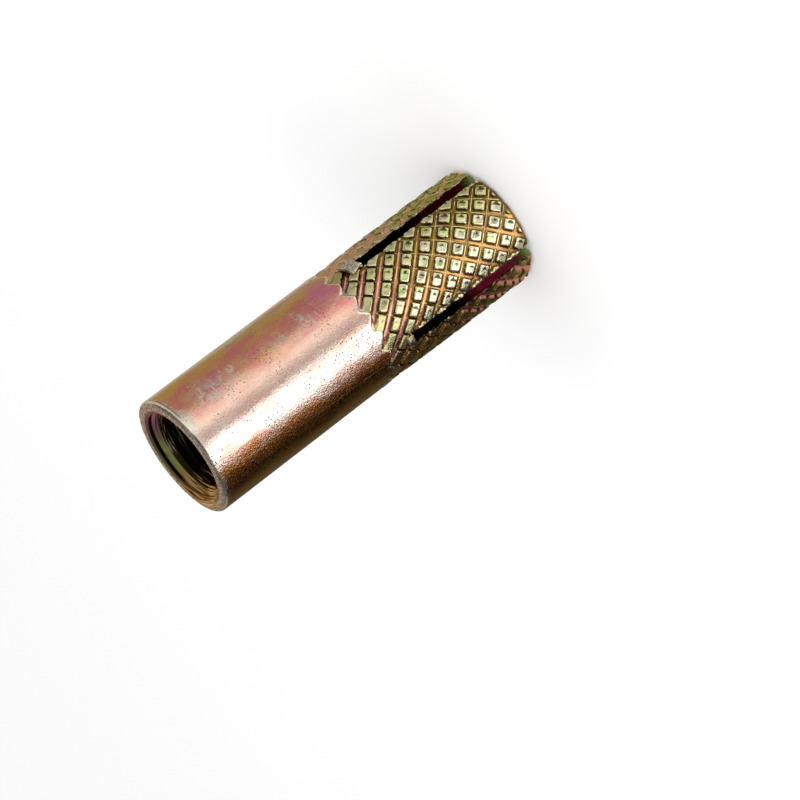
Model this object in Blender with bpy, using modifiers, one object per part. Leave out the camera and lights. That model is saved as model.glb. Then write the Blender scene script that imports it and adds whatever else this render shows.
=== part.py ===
"""Drop-in anchor for an M12 bolt, 50 mm long: a slit, knurled shell and the plug that spreads it.

Metres, +Z up along the axis. The slit end stands on Z = 0 and the threaded mouth is on top.
-Y lies halfway between two slots. The mouth's thread is left as a bore of its minor diameter.
"""

import math

import bmesh
import bpy
from mathutils import Matrix, Vector

# Smooth sleeve
LENGTH = 0.0500
MINOR_D = 0.0102  # minor diameter of the M12 thread and of the plain bore under it
WALL = 0.0028
MOUTH_RIM = 0.0012  # flat rim round the mouth
MOUTH_ROUND = 0.0004
ROUND_STEPS = 3
TURN_STEPS = 72

# Inside of the shell, from the mouth down
RECESS_WIDTH = 0.0005  # shallow cone inside the flat rim
RECESS_DEPTH = 0.0002
LEAD_IN_DEPTH = 0.00165  # steeper cone that leads a bolt into the thread
THREAD_DEPTH = 0.0220  # thread and lead-in together
TAPER_TOP = 0.0170
TAPER_BOTTOM = 0.0040
THROAT_D = 0.0066
END_CONE_D = 0.0086

# Chamfer round the slit end
CHAMFER_WIDTH = 0.0009
CHAMFER_HEIGHT = 0.00065

# Rolled diamond knurl
KNURL_STARTS = 18
KNURL_ROWS = 8
KNURL_PITCH = 0.0030  # height of one diamond
KNURL_TURN = math.radians(-2.5)  # a column of diamonds stands this far from -Y
KNURL_SINK = 0.00006  # first crests below the smooth body
KNURL_PROUD = 0.00015  # crests above the smooth body, once the flare is full
FLARE_HEIGHT = 0.0090
GROOVE_DEPTH = 0.00050
GROOVE_FLOOR = 0.00018  # half the width of a groove's floor
FLANK_WIDTH = 0.00030
DIMPLE_DEPTH = 0.00012
LIP = 0.00015  # how far the smooth skin reaches over the first grooves

# Saw slots
SLOT_WIDTH = 0.0015
SLOT_HEIGHT = 0.0197
SLOT_CUTS = 2  # each cut goes right across and opens two slots

# Chips that the saw left at two closed slot ends
CHIP_WIDTH = 0.0026
CHIP_HEIGHT = 0.0018
CHIP_ANGLE = math.radians(47)  # from -Y
CHIP_LEAN = math.radians(8)
BEAD_WIDTH = 0.0015
BEAD_HEIGHT = 0.0010
BEAD_ANGLE = math.radians(-45)
CHIP_THICKNESS = 0.0009
CHIP_PROUD = 0.00035
CHIP_REACH = 0.4  # share of a chip's height from the slot's end to the chip's middle
CHIP_EDGE = 0.00012

# Expander plug
PLUG_LENGTH = 0.0165
PLUG_CLEARANCE = 0.0003
PLUG_DROP = 0.0010  # top of the plug below the last thread
PLUG_EDGE = 0.0006
PLUG_DIMPLE_D = 0.0030
PLUG_DIMPLE_DEPTH = 0.0005

MERGE = 1e-6
OVERRUN = 0.0010  # how far a cutter runs past what it cuts
SHARP_ANGLE = math.radians(28)

BORE_R = MINOR_D / 2
BODY_R = BORE_R + WALL
CREST_R = BODY_R + KNURL_PROUD
THROAT_R = THROAT_D / 2
KNURL_TOP = KNURL_ROWS * KNURL_PITCH


def clear_scene():
    for obj in list(bpy.data.objects):
        bpy.data.objects.remove(obj)


def collection(name):
    made = bpy.data.collections.new(name)
    bpy.context.scene.collection.children.link(made)
    return made


def finish(name, colour, roughness):
    """A plated steel finish."""
    made = bpy.data.materials.new(name)
    made.use_nodes = True
    shader = made.node_tree.nodes["Principled BSDF"]
    shader.inputs["Base Color"].default_value = (*colour, 1.0)
    shader.inputs["Metallic"].default_value = 1.0
    shader.inputs["Roughness"].default_value = roughness
    return made


def add_object(name, mesh, home):
    obj = bpy.data.objects.new(name, mesh)
    home.objects.link(obj)
    return obj


def as_cutter(obj):
    obj.hide_render = True
    obj.display_type = "WIRE"
    return obj


def turned(name, outline, home, ring=False):
    """A solid turned round Z from an outline of (radius, height) that runs from top to bottom.

    The outline of a ring closes on its own first point, and any other ends on the axis.
    """
    mesh = bpy.data.meshes.new(name)
    points = [(radius, 0.0, height) for radius, height in outline]
    edges = [(i, i + 1) for i in range(len(points) - 1)]
    if ring:
        edges.append((len(points) - 1, 0))
    mesh.from_pydata(points, edges, [])
    obj = add_object(name, mesh, home)
    screw = obj.modifiers.new("Turn", "SCREW")
    screw.steps = TURN_STEPS
    screw.render_steps = TURN_STEPS
    screw.use_merge_vertices = True
    screw.merge_threshold = MERGE
    return obj


def combine(obj, other, operation):
    boolean = obj.modifiers.new(other.name, "BOOLEAN")
    boolean.operation = operation
    boolean.solver = "MANIFOLD"  # the exact solver leaves slivers of the knurl open
    boolean.object = other


def settled(obj, material):
    """Turns the object's modifiers into a plain, smooth-shaded mesh of one material."""
    graph = bpy.context.evaluated_depsgraph_get()
    mesh = bpy.data.meshes.new_from_object(obj.evaluated_get(graph))
    obj.modifiers.clear()
    obj.data = mesh
    mesh.materials.clear()
    mesh.materials.append(material)
    mesh.shade_smooth()
    mesh.set_sharp_from_angle(angle=SHARP_ANGLE)
    return obj


def quarter_round(centre_r, centre_z, radius):
    """Points of a rounded outer edge, from the top face round to the side."""
    turns = [math.pi / 2 * step / ROUND_STEPS for step in range(ROUND_STEPS + 1)]
    return [(centre_r + radius * math.sin(t), centre_z + radius * math.cos(t)) for t in turns]


def smooth_body(home):
    """The plain upper sleeve, still solid, with a core that reaches down inside the knurled barrel."""
    core_r = BORE_R + WALL / 2
    bottom = KNURL_TOP - LIP
    edge = quarter_round(BODY_R - MOUTH_ROUND, LENGTH - MOUTH_ROUND, MOUTH_ROUND)
    outline = [(0, LENGTH), *edge, (BODY_R, bottom), (core_r, bottom)]
    outline += [(core_r, bottom - KNURL_PITCH), (0, bottom - KNURL_PITCH)]
    return turned("smooth_body", outline, home)


def crest_radius(height):
    """The knurl starts just under the smooth skin and flares a little towards the slit end."""
    flare = min(1.0, max(0.0, (KNURL_TOP - height) / FLARE_HEIGHT))
    return BODY_R - KNURL_SINK + (KNURL_PROUD + KNURL_SINK) * flare


def floor_radius(height):
    """Grooves run out to the surface over the first half diamond."""
    run_in = min(1.0, max(0.0, (KNURL_TOP - height) / (KNURL_PITCH / 2)))
    return crest_radius(height) - GROOVE_DEPTH * run_in


def set_radius(verts, radius_at):
    for vert in verts:
        flat = Vector((vert.co.x, vert.co.y, 0.0)).normalized() * radius_at(vert.co.z)
        vert.co = (flat.x, flat.y, vert.co.z)


def diamond_lattice(bm):
    """An open ring of diamonds that runs half a diamond past both ends of the knurl.

    A ring of square cells is poked, and the square edges are dissolved, so that what stays are the
    two families of helical lines. The half diamonds at its rims lie outside the knurl.
    """
    rows = KNURL_ROWS + 1
    place = Matrix.Translation((0, 0, KNURL_TOP / 2)) @ Matrix.Rotation(KNURL_TURN, 4, "Z")
    bmesh.ops.create_cone(
        bm, segments=KNURL_STARTS, radius1=BODY_R, radius2=BODY_R, depth=rows * KNURL_PITCH, matrix=place
    )
    upright = [e for e in bm.edges if abs(e.verts[0].co.z - e.verts[1].co.z) > KNURL_PITCH / 2]
    bmesh.ops.subdivide_edges(bm, edges=upright, cuts=rows - 1, use_grid_fill=True)
    square_edges = [e for e in bm.edges if len(e.link_faces) == 2]
    bmesh.ops.poke(bm, faces=bm.faces[:])
    bmesh.ops.dissolve_edges(bm, edges=square_edges, use_verts=False)
    set_radius(bm.verts, crest_radius)
    return [face for face in bm.faces if len(face.verts) == 4]


def trim_at(bm, height, direction):
    """Cuts the ring at a height, drops what lies beyond it and closes it with a flat cap."""
    cut = bmesh.ops.bisect_plane(
        bm, geom=bm.verts[:] + bm.edges[:] + bm.faces[:], dist=MERGE,
        plane_co=(0, 0, height), plane_no=(0, 0, direction), clear_outer=True,
    )["geom_cut"]
    bmesh.ops.holes_fill(bm, edges=[item for item in cut if isinstance(item, bmesh.types.BMEdge)])


def knurled_barrel(home):
    """A closed barrel of raised diamonds, each inset for half a groove floor and then for its flank."""
    bm = bmesh.new()
    diamonds = diamond_lattice(bm)
    bmesh.ops.inset_individual(bm, faces=diamonds, thickness=GROOVE_FLOOR, use_even_offset=True)
    floor_verts = set(bm.verts)
    bmesh.ops.inset_individual(bm, faces=diamonds, thickness=FLANK_WIDTH, use_even_offset=True)
    crest_verts = [vert for vert in bm.verts if vert not in floor_verts]
    set_radius(floor_verts, floor_radius)
    set_radius(crest_verts, crest_radius)
    dimples = bmesh.ops.poke(bm, faces=diamonds)["verts"]
    set_radius(dimples, lambda height: crest_radius(height) - DIMPLE_DEPTH)
    trim_at(bm, KNURL_TOP, 1)
    trim_at(bm, 0.0, -1)
    bmesh.ops.recalc_face_normals(bm, faces=bm.faces[:])
    mesh = bpy.data.meshes.new("knurled_barrel")
    bm.to_mesh(mesh)
    bm.free()
    return add_object("knurled_barrel", mesh, home)


def bore_cutter(home):
    """Recess, lead-in, thread bore, plain bore, taper, throat and the small cone at the slit end."""
    recess_r = BODY_R - MOUTH_RIM - RECESS_WIDTH
    recess_slope = RECESS_WIDTH / RECESS_DEPTH
    end_cone = (END_CONE_D - THROAT_D) / 2
    outline = [
        (0, LENGTH + OVERRUN),
        (recess_r + RECESS_WIDTH + OVERRUN * recess_slope, LENGTH + OVERRUN),
        (recess_r, LENGTH - RECESS_DEPTH),
        (BORE_R, LENGTH - RECESS_DEPTH - LEAD_IN_DEPTH),
        (BORE_R, TAPER_TOP),
        (THROAT_R, TAPER_BOTTOM),
        (THROAT_R, end_cone),
        (END_CONE_D / 2 + OVERRUN, -OVERRUN),
        (0, -OVERRUN),
    ]
    return as_cutter(turned("bore_cutter", outline, home))


def chamfer_cutter(home):
    """A ring outside the cone that the slit end is chamfered to."""
    slope = CHAMFER_WIDTH / CHAMFER_HEIGHT
    inner = CREST_R - CHAMFER_WIDTH - OVERRUN * slope
    outer = CREST_R + OVERRUN * slope
    outline = [(outer, CHAMFER_HEIGHT + OVERRUN), (outer, -OVERRUN), (inner, -OVERRUN)]
    return as_cutter(turned("chamfer_cutter", outline, home, ring=True))


def box(name, size, place, home, turn=0.0, edge=0.0):
    """A box of the given size at a place, turned round Z, with its edges chamfered by edge."""
    bm = bmesh.new()
    bmesh.ops.create_cube(bm, size=1.0, matrix=Matrix.Diagonal((*size, 1.0)))
    if edge:
        bmesh.ops.bevel(bm, geom=bm.edges[:], offset=edge, affect="EDGES", segments=1)
    mesh = bpy.data.meshes.new(name)
    bm.to_mesh(mesh)
    bm.free()
    obj = add_object(name, mesh, home)
    obj.location = place
    obj.rotation_euler.z = turn
    return obj


def slot_angle(cut):
    return math.pi / 4 + cut * math.pi / SLOT_CUTS


def slot_cutters(home):
    height = SLOT_HEIGHT + OVERRUN
    size = (2 * (CREST_R + OVERRUN), SLOT_WIDTH, height)
    place = (0, 0, SLOT_HEIGHT - height / 2)
    return [
        as_cutter(box(f"slot_cutter_{cut}", size, place, home, turn=slot_angle(cut)))
        for cut in range(SLOT_CUTS)
    ]


def chip(name, width, height, from_front, home):
    """A chip of metal, pushed up at a slot's closed end and half sunk in the skin."""
    angle = from_front - math.pi / 2
    middle = SLOT_HEIGHT + height * CHIP_REACH
    reach = crest_radius(middle) + CHIP_PROUD - CHIP_THICKNESS / 2
    place = (reach * math.cos(angle), reach * math.sin(angle), middle)
    obj = box(name, (CHIP_THICKNESS, width, height), place, home, turn=angle, edge=CHIP_EDGE)
    obj.rotation_euler.x = CHIP_LEAN
    return as_cutter(obj)


def chips(home):
    """The two slots beside -Y each keep a chip: a broad one towards +X, a small bead towards -X."""
    return [
        chip("slot_chip", CHIP_WIDTH, CHIP_HEIGHT, CHIP_ANGLE, home),
        chip("slot_bead", BEAD_WIDTH, BEAD_HEIGHT, BEAD_ANGLE, home),
    ]


def anchor_shell(home, helpers):
    """One steel piece: smooth sleeve above, knurled and slit petals below."""
    shell = smooth_body(home)
    shell.name = "anchor_shell"
    combine(shell, as_cutter(knurled_barrel(helpers)), "UNION")
    combine(shell, chamfer_cutter(helpers), "DIFFERENCE")
    for cutter in slot_cutters(helpers):
        combine(shell, cutter, "DIFFERENCE")
    for lump in chips(helpers):
        combine(shell, lump, "UNION")
    combine(shell, bore_cutter(helpers), "DIFFERENCE")
    return settled(shell, finish("yellow chromate zinc", (0.62, 0.47, 0.24), 0.30))


def bore_radius(height):
    """Radius of the plain bore and of the taper below it."""
    share = min(1.0, max(0.0, (height - TAPER_BOTTOM) / (TAPER_TOP - TAPER_BOTTOM)))
    return THROAT_R + (BORE_R - THROAT_R) * share


def expander_plug(home):
    """A cone-ended slug that waits in the taper, just below the thread."""
    top = LENGTH - THREAD_DEPTH - PLUG_DROP
    bottom = top - PLUG_LENGTH
    wide = BORE_R - PLUG_CLEARANCE
    narrow = bore_radius(bottom) - PLUG_CLEARANCE
    outline = [
        (0, top - PLUG_DIMPLE_DEPTH),
        (PLUG_DIMPLE_D / 2, top),
        (wide - PLUG_EDGE, top),
        (wide, top - PLUG_EDGE),
        (wide, TAPER_TOP),
        (narrow, bottom + PLUG_EDGE),
        (narrow - PLUG_EDGE, bottom),
        (0, bottom),
    ]
    plug = turned("expander_plug", outline, home)
    return settled(plug, finish("plain zinc", (0.50, 0.48, 0.44), 0.38))


def main():
    clear_scene()
    parts = collection("drop_in_anchor")
    helpers = collection("cutters")
    anchor_shell(parts, helpers)
    expander_plug(parts)


main()
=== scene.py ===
"""Looks of the drop-in anchor: its rolled knurl, tapped mouth and yellow chromate plating.

All sizes are in metres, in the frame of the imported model: +Z runs up the axis to the threaded
mouth, the slit end stands on Z = 0, and -Y lies halfway between two slots.
"""

import math

import bmesh
import bpy
from mathutils import Matrix, Vector, noise


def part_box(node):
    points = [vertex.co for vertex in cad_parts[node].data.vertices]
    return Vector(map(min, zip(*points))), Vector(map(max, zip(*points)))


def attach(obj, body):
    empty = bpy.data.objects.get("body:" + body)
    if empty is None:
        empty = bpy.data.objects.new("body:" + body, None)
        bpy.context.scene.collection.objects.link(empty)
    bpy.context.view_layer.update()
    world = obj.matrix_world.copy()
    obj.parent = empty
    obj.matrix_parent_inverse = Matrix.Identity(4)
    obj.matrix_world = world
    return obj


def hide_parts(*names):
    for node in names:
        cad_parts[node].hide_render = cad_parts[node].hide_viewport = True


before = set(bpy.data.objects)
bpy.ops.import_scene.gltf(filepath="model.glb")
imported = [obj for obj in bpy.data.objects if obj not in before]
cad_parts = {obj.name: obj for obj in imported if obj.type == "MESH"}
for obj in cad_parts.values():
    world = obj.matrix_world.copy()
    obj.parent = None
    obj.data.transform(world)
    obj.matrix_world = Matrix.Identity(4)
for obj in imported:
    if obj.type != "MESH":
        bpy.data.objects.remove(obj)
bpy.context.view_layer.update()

MM = 0.001

# Sizes of the shell, as in the solid model
_, SHELL_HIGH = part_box("anchor_shell")
LENGTH = SHELL_HIGH.z
BODY_R = 7.9 * MM
BORE_R = 5.1 * MM
RIM_INNER_R = 6.7 * MM
MOUTH_ROUND = 0.4 * MM
THREAD_BOTTOM = LENGTH - 22 * MM
TAPER_TOP = 17 * MM
TAPER_BOTTOM = 4 * MM
THROAT_R = 3.3 * MM
END_CONE_R = 4.3 * MM
CHAMFER_WIDTH = 0.9 * MM
CHAMFER_HEIGHT = 0.65 * MM
SLOT_WIDTH = 1.5 * MM
SLOT_HEIGHT = 19.7 * MM
CHIP_SEED = 5  # without it the noise would start from the clock
PLUG_LOW, PLUG_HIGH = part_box("expander_plug")

# Rolled knurl
KNURL_STARTS = 18
KNURL_ROWS = 8
KNURL_PITCH = 3 * MM
KNURL_TURN = math.radians(-2.5)
KNURL_TOP = KNURL_ROWS * KNURL_PITCH
KNURL_SINK = 0.06 * MM
KNURL_RISE = 0.21 * MM
KNURL_FLARE = 9 * MM
GROOVE_DEPTH = 0.38 * MM
KNURL_STEPS = 14  # mesh cells along one side of a diamond
DENT_SHIFT = 0.08  # of a diamond's side, between the middle of a top and its dent

# Thread of the mouth, M12 by 1.75
THREAD_PITCH = 1.75 * MM
THREAD_MAJOR_R = 5.9 * MM
THREAD_MINOR_R = 5.1 * MM
THREAD_COLUMNS = 96

# Camera, worked out from the outline of the anchor in the photograph
CAMERA_AIM = Vector((-10.35, -0.46, 23.87)) * MM
CAMERA_DISTANCE = 379.9 * MM
CAMERA_ELEVATION = math.radians(21.91)
CAMERA_ROLL = math.radians(127.84)
CAMERA_LENS = 142.2
SENSOR_WIDTH = 36.0


def linear(colour):
    """The linear colour of an sRGB hex value such as "#c89a86"."""
    parts = [int(colour[i : i + 2], 16) / 255 for i in (1, 3, 5)]
    return [p / 12.92 if p <= 0.04045 else ((p + 0.055) / 1.055) ** 2.4 for p in parts] + [1.0]


def add(tree, kind, inputs=(), **settings):
    """Adds a node with its settings, fills its inputs with links or values, gives its first output."""
    node = tree.nodes.new(kind)
    for name, value in settings.items():
        setattr(node, name, value)
    pairs = inputs.items() if isinstance(inputs, dict) else enumerate(inputs)
    for key, value in pairs:
        if isinstance(value, bpy.types.NodeSocket):
            tree.links.new(value, node.inputs[key])
        else:
            node.inputs[key].default_value = value
    return node.outputs[0] if node.outputs else None


def shorthands(tree):
    """Two short calls for a tree: a math node, and a smooth step from 0 at low to 1 at high."""
    def calc(operation, *values):
        return add(tree, "ShaderNodeMath", values, operation=operation)

    def eased(value, low, high):
        return add(tree, "ShaderNodeMapRange", {"Value": value, "From Min": low, "From Max": high},
                   interpolation_type="SMOOTHSTEP")

    return calc, eased


def ramp_stops(socket, stops):
    """Sets a Color Ramp's stops from (position, sRGB hex) pairs or (position, grey) pairs."""
    ramp = socket.node.color_ramp
    while len(ramp.elements) < len(stops):
        ramp.elements.new(1.0)
    for element, (position, colour) in zip(ramp.elements, stops):
        element.position = position
        element.color = linear(colour) if isinstance(colour, str) else (colour, colour, colour, 1.0)
    return socket


# Geometry of the knurled sleeve

SLEEVE_INPUTS = (
    ("Starts", KNURL_STARTS),
    ("Rows", KNURL_ROWS),
    ("Steps", KNURL_STEPS),
    ("Pitch", KNURL_PITCH),
    ("Turn", KNURL_TURN),
    ("Body Radius", BODY_R),
    ("Crest Sink", KNURL_SINK),
    ("Crest Rise", KNURL_RISE),
    ("Flare Height", KNURL_FLARE),
    ("Groove Depth", GROOVE_DEPTH),
    ("Slot Height", SLOT_HEIGHT),
    ("Slot Width", SLOT_WIDTH),
    ("Filled By Saw", 0.55),
    ("Saw Burr", 0.45 * MM),
    ("Low Floor", 0.08),
    ("Broad Floor", 0.14),
    ("Thin Floor", 0.01),
    ("Low Flank", 0.16),
    ("Broad Flank", 0.14),
    ("Thin Flank", 0.09),
    ("Dimple Depth", 0.07 * MM),
    ("Crest Scatter", 0.07 * MM),
    ("Lip Height", 0.035 * MM),
    ("Chamfer Width", CHAMFER_WIDTH),
    ("Chamfer Height", CHAMFER_HEIGHT),
    ("Sleeve Top", LENGTH - MOUTH_ROUND),
    ("Sleeve Rows", 26),
    ("Hammer Depth", 0.02 * MM),
    ("Seed", 4.0),
    ("Plating", None),
)


def new_geometry_tree(name, inputs):
    """A Geometry Nodes tree with the named inputs; gives the tree and its input sockets by name."""
    tree = bpy.data.node_groups.new(name, "GeometryNodeTree")
    kinds = {int: "NodeSocketInt", float: "NodeSocketFloat", type(None): "NodeSocketMaterial"}
    for label, value in inputs:
        socket = tree.interface.new_socket(label, in_out="INPUT", socket_type=kinds[type(value)])
        if value is not None:
            socket.default_value = value
    tree.interface.new_socket("Geometry", in_out="OUTPUT", socket_type="NodeSocketGeometry")
    sockets = tree.nodes.new("NodeGroupInput").outputs
    return tree, {label: sockets[label] for label, _ in inputs}


def end_tree(tree, geometry, material):
    """Every tree ends in Realize Instances and Set Material."""
    real = add(tree, "GeometryNodeRealizeInstances", [geometry])
    coated = add(tree, "GeometryNodeSetMaterial", {"Geometry": real, "Material": material})
    tree.links.new(coated, tree.nodes.new("NodeGroupOutput").inputs["Geometry"])


def wrapped(tree, grid, angle, radius, height):
    """Wraps a grid round the Z axis, at an angle, a radius and a height for each point."""
    x = add(tree, "ShaderNodeMath", [add(tree, "ShaderNodeMath", [angle], operation="COSINE"), radius],
            operation="MULTIPLY")
    y = add(tree, "ShaderNodeMath", [add(tree, "ShaderNodeMath", [angle], operation="SINE"), radius],
            operation="MULTIPLY")
    place = add(tree, "ShaderNodeCombineXYZ", [x, y, height])
    return add(tree, "GeometryNodeSetPosition", {"Geometry": grid, "Position": place})


def wall_noise(tree, angle, height, scale, seed, detail=2.0):
    """Noise from -0.5 to 0.5 on the sleeve's own wall, so that it meets itself all the way round."""
    x = add(tree, "ShaderNodeMath", [angle], operation="COSINE")
    y = add(tree, "ShaderNodeMath", [angle], operation="SINE")
    z = add(tree, "ShaderNodeMath", [height, BODY_R], operation="DIVIDE")
    spot = add(tree, "ShaderNodeCombineXYZ", [x, y, z])
    value = add(tree, "ShaderNodeTexNoise", {"Vector": spot, "W": seed, "Scale": scale, "Detail": detail},
                noise_dimensions="4D")
    return add(tree, "ShaderNodeMath", [value, 0.5], operation="SUBTRACT")


def past_knurl(calc, a, b, rows):
    """How far a point lies past the last full row of diamonds: 0 on them, then up to 1 a diamond on."""
    row = calc("SUBTRACT", calc("FLOOR", a), calc("FLOOR", b))
    over = calc("SUBTRACT", row, calc("MULTIPLY", rows, 2))
    inside = calc("SMOOTH_MIN", calc("FRACT", a), calc("SUBTRACT", 1, calc("FRACT", b)), 0.6)
    next_row = calc("COMPARE", over, 0, 0.5)
    far = calc("GREATER_THAN", over, 0.5)
    return calc("MULTIPLY_ADD", next_row, inside, far)


def knurled_sleeve_tree():
    """The outside of the shell as one open tube, from the slit end up to the mouth's rounding.

    Its lower grid lies along the grooves: a and b count the two families of helical lines, and the
    grid's own lines are those of a, its diagonals those of b.
    """
    tree, given = new_geometry_tree("Knurled sleeve", SLEEVE_INPUTS)
    calc, eased = shorthands(tree)
    columns = calc("MULTIPLY_ADD", given["Starts"], given["Steps"], 1)
    half_rows = calc("MULTIPLY_ADD", given["Rows"], 2, 1)
    fine_rows = calc("MULTIPLY_ADD", half_rows, given["Steps"], 1)
    tall = calc("DIVIDE", half_rows, 2)
    place = add(tree, "ShaderNodeSeparateXYZ", [add(tree, "GeometryNodeInputPosition")])
    a, row = place, place.node.outputs["Y"]

    # the knurl, with half a diamond more above it
    grid = add(tree, "GeometryNodeMeshGrid",
               {"Size X": given["Starts"], "Size Y": tall, "Vertices X": columns, "Vertices Y": fine_rows})
    v = calc("MULTIPLY_ADD", tall, 0.5, row)
    b = calc("MULTIPLY_ADD", v, -2, a)
    turn_step = calc("DIVIDE", 2 * math.pi, given["Starts"])
    angle = calc("MULTIPLY_ADD", calc("SUBTRACT", a, v), turn_step, given["Turn"])
    height = calc("MULTIPLY", v, given["Pitch"])
    knurl_top = calc("MULTIPLY", given["Rows"], given["Pitch"])
    hammered = calc("MULTIPLY", wall_noise(tree, angle, height, 3.0, given["Seed"]), given["Hammer Depth"])
    skin = calc("ADD", given["Body Radius"], hammered)

    cells = [calc("FLOORED_MODULO", calc("FLOOR", line), given["Starts"]) for line in (a, b)]
    cell = add(tree, "ShaderNodeCombineXYZ", [*cells, given["Seed"]])
    chance = add(tree, "ShaderNodeTexWhiteNoise", {"Vector": cell}, noise_dimensions="3D")
    other_chance = add(tree, "ShaderNodeSeparateXYZ", [chance.node.outputs["Color"]])

    def towards_sleeve(low, high):
        return add(tree, "ShaderNodeMapRange",
                   {"Value": v, "From Min": 2.0, "From Max": 6.5, "To Min": given[low], "To Max": given[high]},
                   interpolation_type="SMOOTHSTEP")

    # both families are alike at the slit end; towards the sleeve one grows broad and the other thin
    floor_a, flank_a = towards_sleeve("Low Floor", "Broad Floor"), towards_sleeve("Low Flank", "Broad Flank")
    floor_b, flank_b = towards_sleeve("Low Floor", "Thin Floor"), towards_sleeve("Low Flank", "Thin Flank")
    wobble = calc("MULTIPLY", wall_noise(tree, angle, height, 9.0, given["Seed"]), 0.07)
    from_a = calc("ADD", calc("PINGPONG", a, 0.5), wobble)
    from_b = calc("SUBTRACT", calc("PINGPONG", b, 0.5), wobble)
    raised_a = eased(from_a, floor_a, calc("ADD", floor_a, flank_a))
    raised_b = eased(from_b, floor_b, calc("ADD", floor_b, flank_b))

    # towards the sleeve, family b stops first and family a runs out into the skin
    ends_a = eased(v, given["Rows"], calc("SUBTRACT", given["Rows"], 0.35))
    ends_b = eased(v, calc("SUBTRACT", given["Rows"], 0.42), calc("SUBTRACT", given["Rows"], 0.62))
    cut_a = calc("MULTIPLY", calc("SUBTRACT", 1, raised_a), ends_a)
    cut_b = calc("MULTIPLY", calc("SUBTRACT", 1, raised_b), ends_b)
    crest = calc("MULTIPLY", calc("SUBTRACT", 1, cut_a), calc("SUBTRACT", 1, cut_b))
    groove = calc("MULTIPLY", calc("SUBTRACT", crest, 1), given["Groove Depth"])

    # the saw smeared the grooves half shut along the edges of the slots, and left a jagged burr
    past_slot = calc("PINGPONG", calc("SUBTRACT", angle, math.pi / 4), math.pi / 4)
    past_slot = calc("DIVIDE", calc("MULTIPLY", past_slot, given["Body Radius"]), given["Slot Width"])
    smeared = calc("MULTIPLY", eased(past_slot, 1.0, 0.55),
                   calc("LESS_THAN", height, calc("ADD", given["Slot Height"], 0.5 * MM)))
    kept = calc("SUBTRACT", 1, calc("MULTIPLY", smeared, given["Filled By Saw"]))
    burr = calc("MULTIPLY", wall_noise(tree, angle, height, 16.0, given["Seed"]), given["Saw Burr"])
    groove = calc("MULTIPLY_ADD", burr, smeared, calc("MULTIPLY", groove, kept))

    # each top is dented, a little off its middle
    beside = calc("PINGPONG", calc("SUBTRACT", b, DENT_SHIFT), 0.5)
    middle = calc("ADD", calc("PINGPONG", a, 0.5), beside)
    dimple = calc("MULTIPLY", eased(middle, 0.78, 0.97), given["Dimple Depth"])
    dimple = calc("MULTIPLY", dimple, eased(other_chance, 0.15, 0.8))
    scatter = calc("MULTIPLY", calc("SUBTRACT", chance, 1), given["Crest Scatter"])
    scatter = calc("MULTIPLY", scatter, crest)

    down = calc("SUBTRACT", knurl_top, height)
    flare = calc("DIVIDE", down, given["Flare Height"])
    flare.node.use_clamp = True
    flared = calc("SUBTRACT", calc("MULTIPLY", flare, given["Crest Rise"]), given["Crest Sink"])
    knurl = calc("ADD", calc("ADD", skin, flared), calc("ADD", groove, scatter))
    knurl = calc("SUBTRACT", knurl, dimple)

    # the skin ends in steps along the upper sides of the last diamonds, with a slight lip
    past = past_knurl(calc, a, b, given["Rows"])
    past = calc("MULTIPLY_ADD", wall_noise(tree, angle, height, 7.0, given["Seed"]), 0.16, past)
    reached = eased(past, 0.20, 0.02)
    lip = calc("MULTIPLY", eased(past, 0.05, 0.20), eased(past, 0.55, 0.20))
    step = calc("MULTIPLY", calc("SUBTRACT", knurl, skin), reached)
    radius = calc("MULTIPLY_ADD", lip, given["Lip Height"], calc("ADD", skin, step))

    # the slit end is chamfered, with a soft edge
    full = calc("ADD", given["Body Radius"], calc("SUBTRACT", given["Crest Rise"], given["Crest Sink"]))
    left = calc("SUBTRACT", 1, calc("DIVIDE", height, given["Chamfer Height"]))
    cone = calc("SUBTRACT", full, calc("MULTIPLY", left, given["Chamfer Width"]))
    radius = calc("SMOOTH_MIN", radius, cone, 0.25 * MM)
    knurled = wrapped(tree, grid, angle, radius, height)

    # the plain sleeve above, on the same columns
    coarse = add(tree, "GeometryNodeMeshGrid",
                 {"Size X": given["Starts"], "Size Y": 1.0, "Vertices X": columns,
                  "Vertices Y": given["Sleeve Rows"]})
    start = calc("MULTIPLY", tall, given["Pitch"])
    up = add(tree, "ShaderNodeMapRange",
             {"Value": row, "From Min": -0.5, "From Max": 0.5, "To Min": start, "To Max": given["Sleeve Top"]})
    around = calc("MULTIPLY_ADD", calc("SUBTRACT", a, tall), turn_step, given["Turn"])
    worn = calc("MULTIPLY", wall_noise(tree, around, up, 3.0, given["Seed"]), given["Hammer Depth"])
    plain = wrapped(tree, coarse, around, calc("ADD", given["Body Radius"], worn), up)

    both = tree.nodes.new("GeometryNodeJoinGeometry")
    for tube in (plain, knurled):
        tree.links.new(tube, both.inputs[0])
    seamed = add(tree, "GeometryNodeMergeByDistance", {"Geometry": both.outputs[0], "Distance": 0.004 * MM})
    split = add(tree, "GeometryNodeTriangulate", [seamed])
    end_tree(tree, split, given["Plating"])
    return tree


THREAD_INPUTS = (
    ("Pitch", THREAD_PITCH),
    ("Minor Radius", THREAD_MINOR_R),
    ("Major Radius", THREAD_MAJOR_R),
    ("Bottom", THREAD_BOTTOM - 2 * THREAD_PITCH - 0.15 * MM),
    ("Turns", math.ceil((LENGTH - THREAD_BOTTOM) / THREAD_PITCH) + 4),
    ("Columns", THREAD_COLUMNS),
    ("Plating", None),
)


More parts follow.
